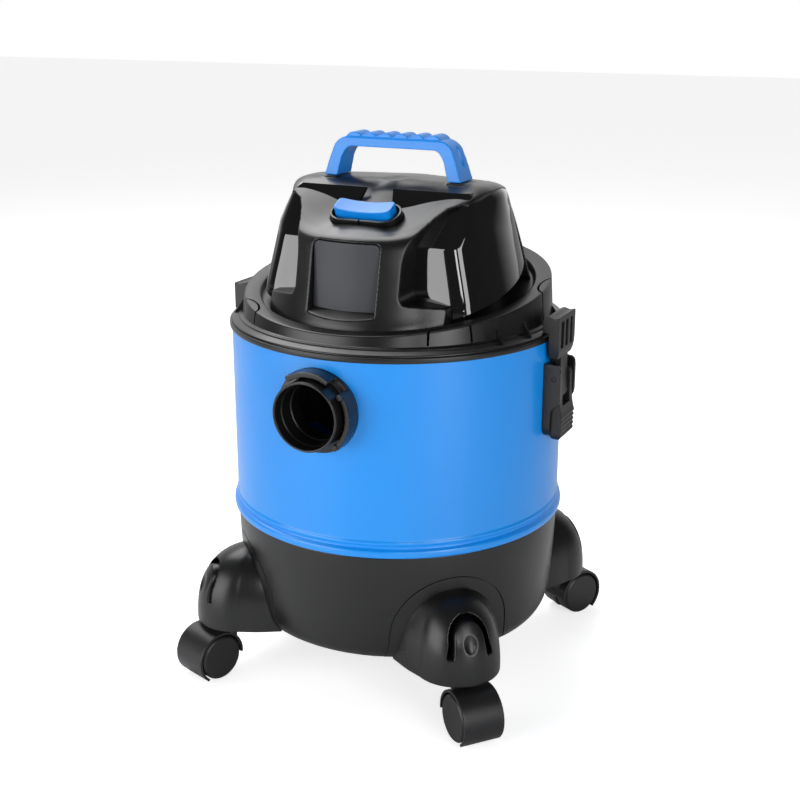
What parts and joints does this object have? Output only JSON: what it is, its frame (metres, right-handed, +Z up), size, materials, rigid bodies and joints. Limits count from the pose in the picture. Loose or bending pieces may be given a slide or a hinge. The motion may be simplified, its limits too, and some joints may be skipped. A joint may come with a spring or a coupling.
{
  "type": "shop vacuum",
  "caption": "Wet and dry shop vacuum: steel drum on a castered base, lift-off motor head, front hose inlet and side draw latches.",
  "frame": {"origin": "on the floor, under the drum's vertical axis", "axes": "+Z up; -Y is the front with the hose inlet, label panel and switch; +X and -X are the latch sides"},
  "size_m": [0.3329, 0.3407, 0.4895],
  "materials": {
    "blue_paint": "smooth glossy coat on sheet steel",
    "blue_plastic": "satin moulded",
    "black_plastic": "satin moulded with a fine grain",
    "gloss_black": "polished",
    "slate_panel": "matt film",
    "wheel_plastic": "satin moulded",
    "steel": "bright",
    "seal_rubber": "matt",
    "filter_paper": "pleated paper",
    "motor_metal": "cast",
    "float_plastic": "plain"
  },
  "bodies": {
    "root": {"tank_drum": "blue_paint", "tank_base": "black_plastic", "rim_collar": "black_plastic", "inlet_port": "black_plastic", "inlet_nut": "black_plastic", "inlet_deflector": "black_plastic", "foot_front_right": "black_plastic", "foot_rear_right": "black_plastic", "foot_rear_left": "black_plastic", "foot_front_left": "black_plastic", "latch_bracket_right": "black_plastic", "latch_bracket_left": "black_plastic"},
    "head": {"head_lid": "black_plastic", "lid_gasket": "seal_rubber", "motor_cover": "black_plastic", "label_panel": "slate_panel", "side_dome_right": "gloss_black", "side_dome_left": "gloss_black", "carry_handle": "blue_plastic", "switch_bezel": "black_plastic", "motor_can": "motor_metal", "fan_housing": "black_plastic", "filter_cartridge": "filter_paper", "float_cage": "black_plastic", "blower_port": "black_plastic", "cord_gland": "black_plastic"},
    "rocker": {"switch_rocker": "blue_plastic"},
    "rotor": {"motor_armature": "steel", "impeller": "motor_metal"},
    "float": {"float_ball": "float_plastic"},
    "cap": {"filter_cap": "black_plastic"},
    "lever_right": {"latch_lever_right": "black_plastic", "latch_link_pin_right": "steel"},
    "hook_right": {"latch_hook_right": "black_plastic"},
    "lever_left": {"latch_lever_left": "black_plastic", "latch_link_pin_left": "steel"},
    "hook_left": {"latch_hook_left": "black_plastic"},
    "caster_front_right": {"caster_hood_front_right": "wheel_plastic", "caster_stem_front_right": "steel", "caster_axle_front_right": "steel"},
    "wheel_front_right_a": {"wheel_front_right_a": "wheel_plastic"},
    "wheel_front_right_b": {"wheel_front_right_b": "wheel_plastic"},
    "caster_rear_right": {"caster_hood_rear_right": "wheel_plastic", "caster_stem_rear_right": "steel", "caster_axle_rear_right": "steel"},
    "wheel_rear_right_a": {"wheel_rear_right_a": "wheel_plastic"},
    "wheel_rear_right_b": {"wheel_rear_right_b": "wheel_plastic"},
    "caster_rear_left": {"caster_hood_rear_left": "wheel_plastic", "caster_stem_rear_left": "steel", "caster_axle_rear_left": "steel"},
    "wheel_rear_left_a": {"wheel_rear_left_a": "wheel_plastic"},
    "wheel_rear_left_b": {"wheel_rear_left_b": "wheel_plastic"},
    "caster_front_left": {"caster_hood_front_left": "wheel_plastic", "caster_stem_front_left": "steel", "caster_axle_front_left": "steel"},
    "wheel_front_left_a": {"wheel_front_left_a": "wheel_plastic"},
    "wheel_front_left_b": {"wheel_front_left_b": "wheel_plastic"}
  },
  "joints": [
    {"name": "head_lift", "type": "slide", "parent": "root", "child": "head", "axis": [0, 0, 1], "range_m": [0, 0.36]},
    {"name": "switch_rocker_tip", "type": "hinge", "parent": "head", "child": "rocker", "pos_m": [0.0015, -0.06, 0.4255], "axis": [0, 0.8988, 0.4384], "range_deg": [0, 6]},
    {"name": "motor_spin", "type": "hinge", "parent": "head", "child": "rotor", "pos_m": [0, 0, 0.38], "axis": [0, 0, 1], "continuous": true},
    {"name": "float_rise", "type": "slide", "parent": "head", "child": "float", "axis": [0, 0, 1], "range_m": [0, 0.019]},
    {"name": "filter_cap_twist", "type": "hinge", "parent": "head", "child": "cap", "pos_m": [0, 0, 0.2135], "axis": [0, 0, 1], "range_deg": [0, 60]},
    {"name": "latch_lever_right", "type": "hinge", "parent": "root", "child": "lever_right", "pos_m": [0.1585, 0, 0.29], "axis": [0, -1, 0], "range_deg": [0, 110]},
    {"name": "latch_hook_right", "type": "hinge", "parent": "lever_right", "child": "hook_right", "pos_m": [0.158, 0, 0.274], "axis": [0, -1, 0], "range_deg": [-127, 0]},
    {"name": "latch_lever_left", "type": "hinge", "parent": "root", "child": "lever_left", "pos_m": [-0.1585, 0, 0.29], "axis": [0, 1, 0], "range_deg": [0, 110]},
    {"name": "latch_hook_left", "type": "hinge", "parent": "lever_left", "child": "hook_left", "pos_m": [-0.158, 0, 0.274], "axis": [0, 1, 0], "range_deg": [-127, 0]},
    {"name": "swivel_front_right", "type": "hinge", "parent": "root", "child": "caster_front_right", "pos_m": [0.1195, -0.1195, 0.045], "axis": [0, 0, 1], "continuous": true},
    {"name": "roll_front_right_a", "type": "hinge", "parent": "caster_front_right", "child": "wheel_front_right_a", "pos_m": [0.13559, -0.133, 0.021], "axis": [0.6428, 0.766, 0], "continuous": true},
    {"name": "roll_front_right_b", "type": "hinge", "parent": "caster_front_right", "child": "wheel_front_right_b", "pos_m": [0.13559, -0.133, 0.021], "axis": [0.6428, 0.766, 0], "continuous": true},
    {"name": "swivel_rear_right", "type": "hinge", "parent": "root", "child": "caster_rear_right", "pos_m": [0.1195, 0.1195, 0.045], "axis": [0, 0, 1], "continuous": true},
    {"name": "roll_rear_right_a", "type": "hinge", "parent": "caster_rear_right", "child": "wheel_rear_right_a", "pos_m": [0.13, 0.13769, 0.021], "axis": [-0.866, 0.5, 0], "continuous": true},
    {"name": "roll_rear_right_b", "type": "hinge", "parent": "caster_rear_right", "child": "wheel_rear_right_b", "pos_m": [0.13, 0.13769, 0.021], "axis": [-0.866, 0.5, 0], "continuous": true},
    {"name": "swivel_rear_left", "type": "hinge", "parent": "root", "child": "caster_rear_left", "pos_m": [-0.1195, 0.1195, 0.045], "axis": [0, 0, 1], "continuous": true},
    {"name": "roll_rear_left_a", "type": "hinge", "parent": "caster_rear_left", "child": "wheel_rear_left_a", "pos_m": [-0.13605, 0.13243, 0.021], "axis": [-0.6157, -0.788, 0], "continuous": true},
    {"name": "roll_rear_left_b", "type": "hinge", "parent": "caster_rear_left", "child": "wheel_rear_left_b", "pos_m": [-0.13605, 0.13243, 0.021], "axis": [-0.6157, -0.788, 0], "continuous": true},
    {"name": "swivel_front_left", "type": "hinge", "parent": "root", "child": "caster_front_left", "pos_m": [-0.1195, -0.1195, 0.045], "axis": [0, 0, 1], "continuous": true},
    {"name": "roll_front_left_a", "type": "hinge", "parent": "caster_front_left", "child": "wheel_front_left_a", "pos_m": [-0.12634, -0.13936, 0.021], "axis": [0.9455, -0.3256, 0], "continuous": true},
    {"name": "roll_front_left_b", "type": "hinge", "parent": "caster_front_left", "child": "wheel_front_left_b", "pos_m": [-0.12634, -0.13936, 0.021], "axis": [0.9455, -0.3256, 0], "continuous": true}
  ],
  "couplings": [
    {"joint": "latch_hook_right", "follows": "latch_lever_right", "ratio": -1.15},
    {"joint": "latch_hook_left", "follows": "latch_lever_left", "ratio": -1.15}
  ]
}
